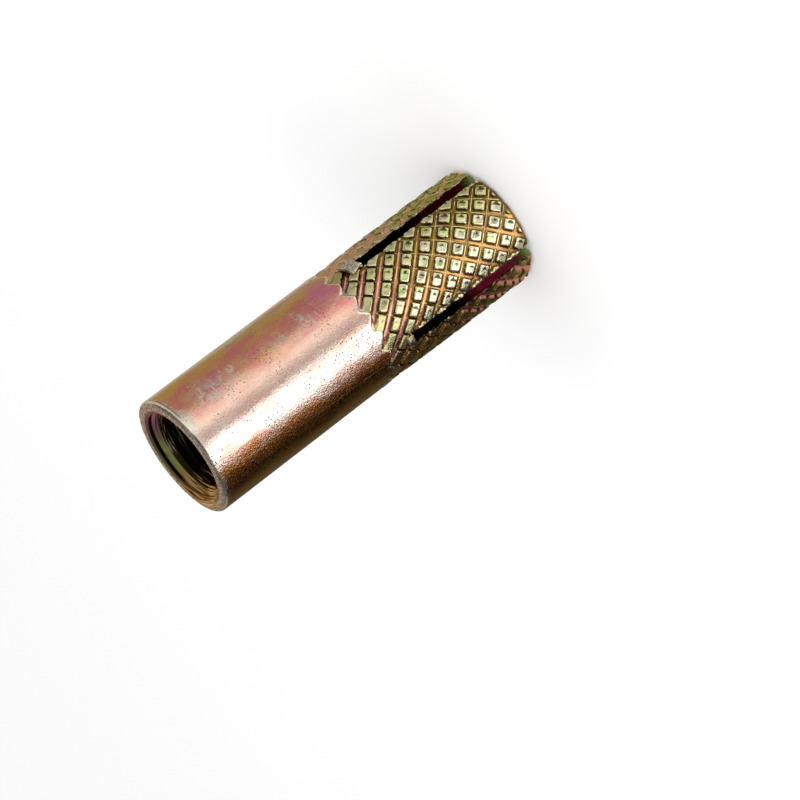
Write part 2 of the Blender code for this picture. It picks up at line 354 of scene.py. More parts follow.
def tap_tree():
    """The skin of the tap that cut the thread: four lines to each turn, two at the crest, two below."""
    tree, given = new_geometry_tree("Tap", THREAD_INPUTS)
    calc, _ = shorthands(tree)
    lines = calc("MULTIPLY", given["Turns"], 4)
    grid = add(tree, "GeometryNodeMeshGrid",
               {"Size X": 1.0, "Size Y": lines, "Vertices X": calc("ADD", given["Columns"], 1),
                "Vertices Y": calc("ADD", lines, 1)})
    place = add(tree, "ShaderNodeSeparateXYZ", [add(tree, "GeometryNodeInputPosition")])
    line = calc("ROUND", calc("MULTIPLY_ADD", lines, 0.5, place.node.outputs["Y"]))
    turn = calc("FLOOR", calc("DIVIDE", line, 4))
    part = calc("SUBTRACT", calc("FLOORED_MODULO", line, 4), 1.5)
    outer = calc("LESS_THAN", calc("ABSOLUTE", part), 1)
    reach = calc("SUBTRACT", 0.36, calc("MULTIPLY", outer, 0.30))
    share = calc("ADD", turn, calc("MULTIPLY", calc("SIGN", part), reach))
    height = calc("MULTIPLY_ADD", calc("ADD", share, place), given["Pitch"], given["Bottom"])
    depth = calc("SUBTRACT", given["Major Radius"], given["Minor Radius"])
    radius = calc("MULTIPLY_ADD", outer, depth, given["Minor Radius"])
    angle = calc("MULTIPLY", place, 2 * math.pi)
    tube = wrapped(tree, grid, angle, radius, height)
    seamed = add(tree, "GeometryNodeMergeByDistance", {"Geometry": tube, "Distance": 0.004 * MM})
    end_tree(tree, seamed, given["Plating"])
    return tree


def grown(name, tree, values):
    """The plain mesh that a tree makes with these values, on a new object."""
    holder = bpy.data.objects.new(name, bpy.data.meshes.new(name))
    bpy.context.scene.collection.objects.link(holder)
    nodes = holder.modifiers.new("Form", "NODES")
    nodes.node_group = tree
    sockets = {item.name: item.identifier for item in tree.interface.items_tree if item.in_out == "INPUT"}
    for label, value in values.items():
        nodes[sockets[label]] = value
    graph = bpy.context.evaluated_depsgraph_get()
    mesh = bpy.data.meshes.new_from_object(holder.evaluated_get(graph))
    mesh.name = name
    holder.modifiers.clear()
    holder.data = mesh
    return holder


# Closing the shell

def open_rim(bm, height):
    """The edges of the open rim that lies at about this height."""
    rims = [edge for edge in bm.edges if edge.is_boundary]
    return [edge for edge in rims if abs(edge.verts[0].co.z - height) < MOUTH_ROUND]


def carry_on(bm, rim, stations):
    """Extends an open rim through (radius, height) stations, ring after ring."""
    for radius, height in stations:
        made = bmesh.ops.extrude_edge_only(bm, edges=rim)["geom"]
        rim = [item for item in made if isinstance(item, bmesh.types.BMEdge) and item.is_boundary]
        for vert in {vert for edge in rim for vert in edge.verts}:
            flat = vert.co.xy.normalized() * radius
            vert.co = (flat.x, flat.y, height)
    return rim


def arc(centre, radius, start, end, steps):
    """Points of an arc in the (radius, height) plane, from one angle in degrees to another."""
    angles = [math.radians(start + (end - start) * step / steps) for step in range(steps + 1)]
    return [(centre[0] + radius * math.cos(t), centre[1] + radius * math.sin(t)) for t in angles]


def inside_of_shell():
    """Stations from the rounded mouth, in over the rim and down the bore to the slit end."""
    mouth = arc((BODY_R - MOUTH_ROUND, LENGTH - MOUTH_ROUND), MOUTH_ROUND, 12, 90, 6)
    rim_soft = 0.08 * MM
    under_tap = THREAD_MINOR_R - 0.2 * MM
    sink_r, sink_depth = 6.2 * MM, 0.2 * MM
    lead_in_bottom = LENGTH - sink_depth - (sink_r - under_tap) * 1.5
    relief = THREAD_MINOR_R + 0.2 * MM
    end_cone = END_CONE_R - THROAT_R
    return [
        *mouth,
        (RIM_INNER_R + rim_soft, LENGTH),
        (RIM_INNER_R - rim_soft, LENGTH - rim_soft / 3),
        (sink_r, LENGTH - sink_depth),
        (sink_r + 0.15 * MM, LENGTH - sink_depth - 0.05 * MM),
        (sink_r + 0.15 * MM, LENGTH - sink_depth - 0.38 * MM),
        (sink_r - 0.10 * MM, LENGTH - sink_depth - 0.45 * MM),
        (under_tap, lead_in_bottom),
        (under_tap, THREAD_BOTTOM + 0.3 * MM),
        (relief, THREAD_BOTTOM + 0.3 * MM),
        (relief, THREAD_BOTTOM - 0.5 * MM),
        (BORE_R, THREAD_BOTTOM - 0.7 * MM),
        (BORE_R, TAPER_TOP),
        (THROAT_R, TAPER_BOTTOM),
        (THROAT_R, end_cone),
        (END_CONE_R, 0.0),
    ]


def closed_shell(sleeve):
    """Closes the open sleeve with its inside, and leaves a solid with faces that point out."""
    bm = bmesh.new()
    bm.from_mesh(sleeve.data)
    foot = open_rim(bm, 0.0)
    inner = carry_on(bm, open_rim(bm, LENGTH - MOUTH_ROUND), inside_of_shell())
    bmesh.ops.bridge_loops(bm, edges=foot + inner)
    bmesh.ops.recalc_face_normals(bm, faces=bm.faces[:])
    bm.to_mesh(sleeve.data)
    bm.free()


def capped(tube, low, high):
    """Cuts a tube level at both ends and closes it."""
    bm = bmesh.new()
    bm.from_mesh(tube.data)
    for height, direction in ((low, -1), (high, 1)):
        cut = bmesh.ops.bisect_plane(
            bm, geom=bm.verts[:] + bm.edges[:] + bm.faces[:], dist=0.0001 * MM,
            plane_co=(0, 0, height), plane_no=(0, 0, direction), clear_outer=True,
        )["geom_cut"]
        bmesh.ops.holes_fill(bm, edges=[item for item in cut if isinstance(item, bmesh.types.BMEdge)])
    bmesh.ops.recalc_face_normals(bm, faces=bm.faces[:])
    bm.to_mesh(tube.data)
    bm.free()


def mesh_object(name, bm, material):
    mesh = bpy.data.meshes.new(name)
    bm.to_mesh(mesh)
    bm.free()
    mesh.materials.append(material)
    obj = bpy.data.objects.new(name, mesh)
    bpy.context.scene.collection.objects.link(obj)
    return obj


def saw_cut(number, plating):
    """The box that one pass of the slitting saw takes out, right across the shell."""
    bm = bmesh.new()
    over = 2 * MM
    size = Matrix.Diagonal((2 * (BODY_R + over), SLOT_WIDTH, SLOT_HEIGHT + over, 1))
    turn = Matrix.Rotation(math.radians(45 + 90 * number), 4, "Z")
    bmesh.ops.create_cube(bm, size=1.0, matrix=turn @ Matrix.Translation((0, 0, (SLOT_HEIGHT - over) / 2)) @ size)
    return mesh_object(f"saw_cut_{number}", bm, plating)


def chip(name, width, height, from_front, plating):
    """A ragged chip that the saw pushed up at a slot's closed end."""
    bm = bmesh.new()
    thickness, edge, proud = 0.9 * MM, 0.14 * MM, 0.38 * MM
    bmesh.ops.create_cube(bm, size=1.0, matrix=Matrix.Diagonal((thickness, width, height, 1)))
    bmesh.ops.bevel(bm, geom=bm.edges[:], offset=edge, affect="EDGES", segments=1)
    bmesh.ops.triangulate(bm, faces=bm.faces[:])
    bmesh.ops.subdivide_edges(bm, edges=bm.edges[:], cuts=5, use_grid_fill=True)
    noise.seed_set(CHIP_SEED)
    for vert in bm.verts:
        vert.co += noise.noise_vector(vert.co * 0.9 / MM) * 0.22 * MM
        vert.co += noise.noise_vector(vert.co * 4.0 / MM) * 0.06 * MM
    reach = BODY_R + proud - thickness / 2
    turn = Matrix.Rotation(math.radians(from_front - 90), 4, "Z")
    place = Matrix.Translation((reach, 0, SLOT_HEIGHT + 0.4 * height))
    lean = Matrix.Rotation(math.radians(8), 4, "X") @ Matrix.Rotation(math.radians(-8), 4, "Y")
    bmesh.ops.transform(bm, matrix=turn @ place @ lean, verts=bm.verts[:])
    return mesh_object(name, bm, plating)


def settled(obj, sharp):
    """Turns the modifiers into a plain mesh, shaded smooth up to the given angle."""
    graph = bpy.context.evaluated_depsgraph_get()
    mesh = bpy.data.meshes.new_from_object(obj.evaluated_get(graph))
    obj.modifiers.clear()
    obj.data = mesh
    mesh.shade_smooth()
    mesh.set_sharp_from_angle(angle=math.radians(sharp))


def cut_or_join(obj, other, operation):
    boolean = obj.modifiers.new(other.name, "BOOLEAN")
    boolean.operation = operation
    boolean.solver = "MANIFOLD"
    boolean.object = other


def plated_shell(plating):
    """The whole shell: knurled sleeve, bore, tapped thread, slots and the chips beside them."""
    shell = grown("plated_shell", knurled_sleeve_tree(), {"Plating": plating})
    closed_shell(shell)
    tap = grown("tap", tap_tree(), {"Plating": plating})
    capped(tap, THREAD_BOTTOM, LENGTH + MM)
    tools = [
        (saw_cut(0, plating), "DIFFERENCE"),
        (saw_cut(1, plating), "DIFFERENCE"),
        (chip("slot_chip", 2.6 * MM, 1.8 * MM, 47, plating), "UNION"),
        (chip("slot_bead", 1.5 * MM, 1.0 * MM, -45, plating), "UNION"),
        (tap, "DIFFERENCE"),
    ]
    for tool, operation in tools:
        cut_or_join(shell, tool, operation)
    settled(shell, 50)
    for tool, _ in tools:
        bpy.data.objects.remove(tool)
    return shell


def spun(name, outline, steps, plating):
    """A solid spun round Z from an outline of (radius, height) points that ends on the axis."""
    bm = bmesh.new()
    verts = [bm.verts.new((radius, 0, height)) for radius, height in outline]
    edges = [bm.edges.new(pair) for pair in zip(verts, verts[1:])]
    bmesh.ops.spin(bm, geom=verts + edges, cent=(0, 0, 0), axis=(0, 0, 1), angle=2 * math.pi, steps=steps)
    bmesh.ops.remove_doubles(bm, verts=bm.verts[:], dist=0.001 * MM)
    bmesh.ops.recalc_face_normals(bm, faces=bm.faces[:])
    return mesh_object(name, bm, plating)


def plated_plug(plating):
    """The expander plug, turned from bar: chamfered ends, a centre mark and fine tool rings."""
    top, bottom = PLUG_HIGH.z, PLUG_LOW.z
    wide = PLUG_HIGH.x
    clearance = 0.3 * MM
    narrow = THROAT_R + (BORE_R - THROAT_R) * (bottom - TAPER_BOTTOM) / (TAPER_TOP - TAPER_BOTTOM) - clearance
    edge = 0.6 * MM
    rings = [(wide * k / 14, top - 0.03 * MM * (k % 2)) for k in range(5, 13)]
    outline = [
        (0, top - 0.5 * MM),
        (1.3 * MM, top - 0.08 * MM),
        (1.5 * MM, top),
        *rings,
        *arc((wide - edge, top - edge), edge, 90, 0, 5),
        (wide, TAPER_TOP),
        (narrow, bottom + edge),
        (narrow - edge, bottom),
        (0, bottom),
    ]
    plug = spun("plated_plug", outline, 96, plating)
    plug.data.shade_smooth()
    plug.data.set_sharp_from_angle(angle=math.radians(40))
    return plug


# Finishes

def new_material(name):
    material = bpy.data.materials.new(name)
    material.use_nodes = True
    tree = material.node_tree
    return material, tree, tree.nodes["Principled BSDF"]


def yellow_chromate_zinc():
    """Electroplated zinc with a yellow chromate film: a half-gloss metal that shimmers pink, gold and green."""
    material, tree, shader = new_material("yellow_chromate_zinc")
    calc, eased = shorthands(tree)

    def tinted(under, over, *masks):
        """Lays one colour over another as far as all the masks together let it."""
        mix = add(tree, "ShaderNodeMix", data_type="RGBA").node
        over = linear(over) if isinstance(over, str) else over
        for socket, value in ((mix.inputs[0], product(*masks)), (mix.inputs[6], under), (mix.inputs[7], over)):
            if isinstance(value, bpy.types.NodeSocket):
                tree.links.new(value, socket)
            else:
                socket.default_value = value
        return mix.outputs[2]

    def banded(value, stops):
        return ramp_stops(add(tree, "ShaderNodeValToRGB", [value]), stops)

    def between(value, low, high, soft):
        return calc("MULTIPLY", eased(value, low - soft, low + soft), eased(value, high + soft, high - soft))

    def product(first, *others):
        for other in others:
            first = calc("MULTIPLY", first, other)
        return first

    def grain(scale, detail, offset=0.0, stretch=(1, 1, 1), rough=0.55, warp=0.0):
        """Noise whose grains are 1 / scale millimetres across."""
        spot = add(tree, "ShaderNodeMapping", {"Vector": spot_mm, "Location": (offset, offset, 0),
                                               "Scale": stretch})
        return add(tree, "ShaderNodeTexNoise", {"Vector": spot, "Scale": scale, "Detail": detail,
                                                "Roughness": rough, "Distortion": warp})

    spot_mm = add(tree, "ShaderNodeVectorMath",
                  {0: add(tree, "ShaderNodeTexCoord").node.outputs["Object"], "Scale": 1 / MM},
                  operation="SCALE")
    x = add(tree, "ShaderNodeSeparateXYZ", [spot_mm])
    y, z = x.node.outputs["Y"], x.node.outputs["Z"]
    radius = calc("SQRT", calc("ADD", calc("MULTIPLY", x, x), calc("MULTIPLY", y, y)))
    angle = calc("ARCTAN2", calc("MULTIPLY", x, -1), calc("MULTIPLY", y, -1))
    degrees = calc("MULTIPLY", angle, 180 / math.pi)
    outside = eased(radius, 7.2, 7.4)

    # the film's thickness, and with it its colour, drifts round the sleeve and in streaks along it; the bands are
    # also painted pale where the highlight falls and dark brown where the shade falls, as painted highlight and
    # painted shade
    cloud = grain(0.22, 4.0, stretch=(1, 1, 0.6))
    streak = grain(0.9, 4.0, 30.0, stretch=(1, 1, 0.25), rough=0.6)
    drift = calc("ADD", calc("MULTIPLY", calc("SUBTRACT", cloud, 0.5), 0.14),
                 calc("MULTIPLY", calc("SUBTRACT", streak, 0.5), 0.09))
    share = calc("ADD", calc("MULTIPLY_ADD", angle, 1 / (2 * math.pi), 0.5), drift)
    sleeve = banded(share, [
        (0.00, "#c0926c"), (0.12, "#a8a468"), (0.22, "#b8905c"), (0.27, "#ccc4b4"),
        (0.295, "#c0b8a6"), (0.31, "#b4a278"),
        (0.335, "#bf9a4c"), (0.36, "#c88464"), (0.40, "#c87a74"), (0.44, "#d3a28e"), (0.48, "#dcbeac"),
        (0.508, "#dcbeac"), (0.535, "#ecdcd2"), (0.56, "#eadad0"), (0.577, "#deb9a8"), (0.60, "#c67e38"),
        (0.65, "#744416"), (0.69, "#a07434"),
        (0.78, "#98905a"), (0.90, "#b88878"), (1.00, "#c0926c"),
    ])
    left_half = eased(degrees, -8.0, -26.0)
    rosy = product(eased(grain(0.55, 4.0, 40.0, stretch=(1, 1, 0.5), rough=0.65), 0.46, 0.64),
                   calc("MULTIPLY_ADD", left_half, 0.4, 0.15))
    sleeve = tinted(sleeve, "#c8647c", rosy)
    golden = product(eased(grain(0.50, 4.0, 80.0, stretch=(1, 1, 0.4), rough=0.65), 0.50, 0.66), left_half, 0.55)
    sleeve = tinted(sleeve, "#d09c58", golden)
    greenish = product(eased(grain(0.8, 4.0, 60.0, stretch=(1, 1, 0.6), rough=0.7), 0.52, 0.68), left_half, 0.45)
    sleeve = tinted(sleeve, "#a9a680", greenish)
    # the film is patchy at the scale of the zinc's crystals; on the side where the highlight gives way to shade its
    # light and dark grains are painted stronger, as painted glints and painted shade
    glint_and_shade_side = between(degrees, 28.0, 58.0, 4.0)
    thin = product(eased(grain(4.2, 3.0, 510.0, rough=0.6), 0.50, 0.62), calc("MULTIPLY_ADD", glint_and_shade_side, 0.55, 0.10))
    sleeve = tinted(sleeve, "#e8a468", thin)
    thick = product(eased(grain(4.6, 3.0, 540.0, rough=0.6), 0.50, 0.62), calc("MULTIPLY_ADD", glint_and_shade_side, 0.45, 0.14))
    sleeve = tinted(sleeve, "#503018", thick)
    # an oily purple stain against the knurl, and a worn grey edge round the mouth
    purple = product(between(degrees, -60.0, -38.0, 5.0), between(z, 24.0, 26.8, 1.0), 0.65)
    sleeve = tinted(sleeve, "#c8709a", purple)
    edge_wear = calc("MULTIPLY_ADD", grain(1.5, 5.0, 95.0, rough=0.72), 4.4, z)
    edge_wear = calc("MULTIPLY_ADD", between(degrees, -30.0, -2.0, 14.0), 0.9, edge_wear)
    edge_wear = calc("SUBTRACT", edge_wear, 0.5)
    sleeve = tinted(sleeve, "#c8c6b6", eased(edge_wear, LENGTH / MM + 0.6, LENGTH / MM + 1.7), 0.7)
    haze = product(between(degrees, -40.0, -20.0, 7.0), between(z, 42.5, 46.5, 1.5),
                   eased(grain(1.3, 3.0, 98.0), 0.44, 0.60), 0.6)
    sleeve = tinted(sleeve, "#bcb8b0", haze)

    # the knurl: pale green-gold tops, flanks painted dark as painted shade, olive floors that turn orange and pink
    around = calc("MULTIPLY", angle, -KNURL_STARTS / (2 * math.pi))
    v = calc("DIVIDE", z, KNURL_PITCH / MM)
    u = calc("ADD", around, 0.5 - math.degrees(KNURL_TURN) / (360 / KNURL_STARTS))
    a, b = calc("ADD", u, v), calc("SUBTRACT", u, v)
    cells = [calc("FLOORED_MODULO", calc("FLOOR", line), KNURL_STARTS) for line in (a, b)]
    chance = add(tree, "ShaderNodeTexWhiteNoise", {"Vector": add(tree, "ShaderNodeCombineXYZ", cells)},
                 noise_dimensions="3D")
    tops = banded(chance, [(0.0, "#beac74"), (0.3, "#d6c8a0"), (0.55, "#acb06c"), (0.8, "#d0bca4"),
                           (1.0, "#c2b690")])
    cloud_tops = banded(grain(0.30, 3.0, 15.0), [(0.35, "#c4b084"), (0.5, "#b8bc84"), (0.65, "#c8b29c")])
    tops = tinted(tops, cloud_tops, 0.5)
    left_petal = between(degrees, -130.0, -50.0, 4.0)
    right_petal = between(degrees, 50.0, 130.0, 4.0)
    # tops are painted near white on the side where the highlight falls, as painted highlight
    tops = tinted(tops, "#f6eedc", between(degrees, -12.0, 36.0, 6.0), eased(z, 22.0, 15.0), 0.6)
    tops = tinted(tops, "#8f8450", eased(z, 17.5, 21.0), eased(degrees, 18.0, -18.0), 0.5)
    greened = product(eased(grain(0.7, 3.0, 21.0), 0.53, 0.60), eased(degrees, 24.0, 8.0), eased(z, 23.0, 18.0), 0.6)
    tops = tinted(tops, "#a8cc5c", greened)
    tops = tinted(tops, "#90983a", left_petal, 0.85)
    tops = tinted(tops, "#8c7434", right_petal, 0.75)
    near_a, near_b = calc("PINGPONG", a, 0.5), calc("PINGPONG", b, 0.5)
    beside = calc("PINGPONG", calc("SUBTRACT", b, DENT_SHIFT), 0.5)
    from_middle = calc("ADD", near_a, beside)
    middle = calc("MULTIPLY_ADD", calc("SUBTRACT", grain(2.6, 3.0, 18.0, rough=0.7), 0.5), 0.5, from_middle)
    # each top's dent is painted olive, and dark along its upper wall, as painted shade
    tops = tinted(tops, "#98985c", eased(middle, 0.68, 0.78), eased(z, 22.0, 15.0), 0.4)
    struck = calc("MULTIPLY_ADD", calc("SUBTRACT", chance.node.outputs["Color"], 0.56), 0.22, middle)
    mark = product(eased(struck, 0.79, 0.85), eased(calc("FRACT", b), 0.53, 0.58), eased(z, 24.0, 16.0), 0.92)
    tops = tinted(tops, "#2c2410", mark)
    # towards the sleeve the grooves of family a lie over those of family b
    broad = eased(z, 9.0, 18.0)
    in_b = product(eased(calc("SUBTRACT", near_a, near_b), -0.04, 0.04),
                   calc("SUBTRACT", 1, product(broad, eased(near_a, 0.22, 0.14))))
    floors_a = banded(calc("MULTIPLY_ADD", grain(0.5, 3.0, 60.0), 0.3, calc("DIVIDE", z, 24.0)), [
        (0.60, "#7c6428"), (0.72, "#987040"), (0.92, "#a8785c"), (1.05, "#b07c70"),
    ])
    across = calc("MULTIPLY_ADD", degrees, 1 / 90, 0.5)
    floors_b = banded(calc("MULTIPLY_ADD", calc("SUBTRACT", grain(0.5, 3.0, 63.0), 0.5), 0.25, across), [
        (0.32, "#74602a"), (0.42, "#a88440"), (0.53, "#c49050"), (0.62, "#c08848"), (0.75, "#bc7c54"),
        (0.95, "#a87054"),
    ])
    floors_b = tinted(floors_b, "#4c3c16", eased(z, 11.0, 16.0), 0.9)
    floors = tinted(floors_a, floors_b, in_b)
    # floors are painted paler gold on the side where the highlight falls, as painted highlight
    floors = tinted(floors, "#d8b474", between(degrees, -8.0, 30.0, 8.0), 0.3)
    # a bright line is painted down the middle of most grooves as painted highlight, between dark ones painted as
    # shade
    from_line = calc("MINIMUM", product(near_a, calc("MULTIPLY_ADD", broad, -0.55, 1.0)), near_b)
    wander = calc("MULTIPLY_ADD", calc("SUBTRACT", grain(1.1, 2.0, 26.0), 0.5), 0.06, from_line)
    orange = product(in_b, eased(z, 15.0, 11.0), eased(degrees, -16.0, -4.0))
    groove_line_light_and_shade = product(calc("MULTIPLY_ADD", orange, -0.8, 1.0), eased(grain(0.7, 3.0, 29.0), 0.40, 0.50),
                    calc("SUBTRACT", 1, product(in_b, broad)))
    floors = tinted(floors, "#3c2c0e", between(wander, 0.028, 0.080, 0.008), groove_line_light_and_shade, 0.75)
    floors = tinted(floors, "#f0d49c", eased(wander, 0.026, 0.014), groove_line_light_and_shade, 0.9)
    in_a = product(calc("SUBTRACT", 1, in_b), eased(z, 8.0, 14.0))
    ageing = calc("MULTIPLY_ADD", calc("SUBTRACT", grain(0.4, 3.0, 69.0), 0.5), 0.35,
                  calc("DIVIDE", z, 24.0))
    middle_a = banded(ageing, [(0.45, "#c49a50"), (0.66, "#d4a058"), (0.80, "#e09468"), (0.92, "#dc9090")])
    mauve = banded(ageing, [(0.55, "#745428"), (0.72, "#7c5438"), (0.84, "#7c5058")])
    side_a = calc("SUBTRACT", calc("FRACT", calc("ADD", a, 0.5)), 0.5)
    # one side of each a-groove's floor is painted dark brown as painted shade
    floors = tinted(floors, "#5c3410", in_a, eased(side_a, 0.04, 0.10), 0.75)
    floors = tinted(floors, mauve, in_a, eased(side_a, -0.05, -0.11), 0.6)
    floors = tinted(floors, middle_a, in_a, between(side_a, -0.04, 0.03, 0.02), 0.75)
    flare = calc("DIVIDE", calc("SUBTRACT", KNURL_TOP / MM, z), KNURL_FLARE / MM)
    flare.node.use_clamp = True
    crest = calc("MULTIPLY_ADD", flare, KNURL_RISE / MM, (BODY_R - KNURL_SINK) / MM)
    level = calc("MULTIPLY_ADD", calc("SUBTRACT", grain(2.4, 3.0, 7.0), 0.5), 0.10, radius)
    depth = calc("DIVIDE", calc("SUBTRACT", crest, level), GROOVE_DEPTH / MM)
    # near the sleeve each top is painted with a pale lower edge as painted highlight and a thin dark upper one as
    # painted shade
    side_b = calc("SUBTRACT", calc("FRACT", calc("ADD", b, 0.5)), 0.5)
    inner_row = calc("LESS_THAN", calc("SUBTRACT", calc("FLOOR", a), calc("FLOOR", b)),
                     2 * KNURL_ROWS - 1.5)
    tops = tinted(tops, "#efe6cc", between(side_b, 0.06, 0.13, 0.02), inner_row, eased(z, 9.0, 14.0), 0.7)
    tops = tinted(tops, "#4c4418", between(side_b, -0.10, -0.03, 0.02), eased(z, 9.0, 14.0), 0.8)
    knurl = tinted(floors, tops, eased(depth, 0.46, 0.32))
    # the flanks are painted dark brown as painted shade
    flank = product(eased(depth, 0.24, 0.40), eased(depth, 0.98, 0.80), eased(z, 24.0, 20.0), 0.92)
    flank_film_and_shade = banded(across, [(0.40, "#4c3a0e"), (0.55, "#846a34"), (0.74, "#846a34"), (0.86, "#4c3a10")])
    knurl = tinted(knurl, flank_film_and_shade, flank)
    # the side petals keep a greener film, rosy in the grooves, those of one family most of all; on the right petal
    # that bright pink is film colour with painted reflection
    cut_in = eased(depth, 0.22, 0.45)
    knurl = tinted(knurl, "#b09c58", left_petal, cut_in, 0.85)
    rosy_left = product(left_petal, eased(depth, 0.55, 0.80), eased(grain(0.6, 3.0, 33.0), 0.42, 0.56), 0.8)
    knurl = tinted(knurl, "#dcae94", rosy_left)
    # the left petal's tops get dark painted edges, as painted shade
    left_edge_shade = product(left_petal, between(depth, 0.28, 0.52, 0.08), eased(grain(1.6, 3.0, 36.0), 0.40, 0.50), 0.8)
    knurl = tinted(knurl, "#4c4c18", left_edge_shade)
    knurl = tinted(knurl, "#d09c84", left_petal, eased(z, 9.0, 15.0), grain(0.9, 3.0, 39.0))
    stained = product(between(degrees, -98.0, -79.0, 2.0), eased(z, 20.0, 14.0),
                      eased(grain(0.8, 3.0, 42.0), 0.40, 0.52), 0.7)
    knurl = tinted(knurl, "#444c34", stained)
    knurl = tinted(knurl, "#9c7840", right_petal, 0.4)
    # bright pink low in the right petal's b-grooves: film colour with painted reflection
    knurl = tinted(knurl, "#e09090", right_petal, cut_in, in_b, eased(z, 15.0, 9.0), 0.9)
    past = past_knurl(calc, a, b, KNURL_ROWS)
    in_knurl = eased(calc("MULTIPLY_ADD", grain(2.0, 3.0, 66.0), 0.12, past), 0.26, 0.06)
    # a pale line along the lip where the knurl ends, painted as highlight
    lip_highlight = product(between(past, 0.08, 0.20, 0.04), 0.85)
    plate = tinted(sleeve, knurl, in_knurl)
    plate = tinted(plate, "#e8dcc4", lip_highlight)

    # bare zinc where the film is scuffed through, in short strokes, and dark pits
    stroke_a = grain(1.7, 5.0, 120.0, stretch=(0.9, 0.9, 1.1), rough=0.75, warp=0.6)
    stroke_b = grain(1.4, 5.0, 145.0, stretch=(0.6, 0.6, 2.2), rough=0.72, warp=0.3)
    strokes = calc("MAXIMUM", eased(stroke_a, 0.57, 0.62), eased(stroke_b, 0.55, 0.60))
    knocks = banded(calc("DIVIDE", z, 50.0), [
        (0.50, 0.2), (0.525, 0.2), (0.55, 0.75), (0.57, 0.25), (0.60, 0.9), (0.63, 0.3), (0.65, 0.25), (0.67, 0.8),
        (0.69, 0.2), (0.77, 0.25), (0.84, 0.6), (0.90, 0.95), (0.94, 0.35), (1.0, 0.2),
    ])
    knocked = product(between(degrees, -50.0, -20.0, 9.0), calc("SUBTRACT", knocks, 0.2), 0.45)
    rubbed = calc("ADD", grain(0.45, 3.0, 160.0), knocked)
    scuffed = product(strokes, eased(rubbed, 0.60, 0.74), calc("SUBTRACT", 1, in_knurl), outside)
    plate = tinted(plate, "#bcbcae", scuffed, 0.8)
    pit = add(tree, "ShaderNodeTexVoronoi", {"Vector": spot_mm, "Scale": 2.6, "Randomness": 1.0})
    near_knurl = product(between(degrees, 0.0, 45.0, 8.0), eased(z, 34.0, 26.0), 0.16)
    pit_zone = eased(calc("ADD", grain(0.35, 2.0, 200.0), near_knurl), 0.51, 0.60)
    pitted = product(eased(pit, 0.26, 0.14), pit_zone, calc("SUBTRACT", 1, in_knurl), outside)
    plate = tinted(plate, "#2c2018", pitted,
                   calc("MULTIPLY_ADD", between(degrees, 4.0, 30.0, 4.0), 0.3, 0.65))

    # dark and pale lines are painted round the mouth's outer rounding, as painted shade and painted highlight
    rounding_light_and_shade = between(degrees, -62.0, -26.0, 5.0)
    plate = tinted(plate, "#332c20", rounding_light_and_shade, between(z, 49.38, 49.48, 0.03), outside, 0.85)
    plate = tinted(plate, "#d6ceb4", rounding_light_and_shade, between(z, 49.52, 49.74, 0.03), outside, 0.7)
    plate = tinted(plate, "#4c4438", between(degrees, -8.0, 14.0, 4.0), between(z, 49.60, 49.86, 0.04), outside,
                   0.7)

    # one long scratch down the sleeve
    scratch = calc("ABSOLUTE", calc("ADD", calc("MULTIPLY_ADD", z, 0.33, degrees), -57.9))
    plate = tinted(plate, "#e8d0a8", eased(scratch, 0.45, 0.15), between(z, 23.5, 36.0, 1.0), 0.8)

    # the chips at the slots' closed ends are bare
    chipped = product(between(z, 19.75, 22.5, 0.1), eased(radius, 8.02, 8.08),
                      calc("MAXIMUM", between(degrees, -60.0, -33.0, 1.0), between(degrees, 37.0, 53.0, 1.0)))
    bare = banded(grain(2.2, 4.0, 90.0, rough=0.7), [(0.40, "#94866f"), (0.52, "#b9ad9a"), (0.66, "#dcd3c4")])
    plate = tinted(plate, bare, chipped)

    # the faced rim has lost its film; the groove and the lead-in behind it keep theirs
    rim = product(eased(z, LENGTH / MM - 0.10, LENGTH / MM - 0.04), eased(radius, 6.55, 6.75))
    speckle = banded(grain(2.6, 3.0, 77.0, rough=0.7), [(0.40, "#8c7464"), (0.5, "#c4b0a0"), (0.62, "#f0e2d4")])
    plate = tinted(plate, speckle, rim)
    inner = eased(radius, 6.75, 6.6)
    in_bore = banded(calc("MULTIPLY_ADD", angle, 1 / (2 * math.pi), 0.5), [
        (0.0, "#a8ac60"), (0.08, "#a4a868"), (0.18, "#d890a4"), (0.28, "#d88ca4"), (0.50, "#a88050"),
        (0.70, "#a87068"), (0.78, "#9c9458"), (0.86, "#e8b868"), (0.93, "#d8a860"), (1.0, "#a8ac60"),
    ])
    plate = tinted(plate, in_bore, inner)
    # the sunk ring inside the rim: dark maroon film, darkened as painted shade in the recess
    sunk_film_and_shade = product(between(radius, 6.18, 6.66, 0.03), eased(z, 49.0, 49.6), 0.6)
    plate = tinted(plate, "#5c3a36", sunk_film_and_shade)
    # the undercut groove is painted nearly black as painted shade
    undercut_shade = product(inner, eased(radius, 6.12, 6.20), between(z, 49.36, 49.74, 0.02), 0.9)
    plate = tinted(plate, "#181008", undercut_shade)
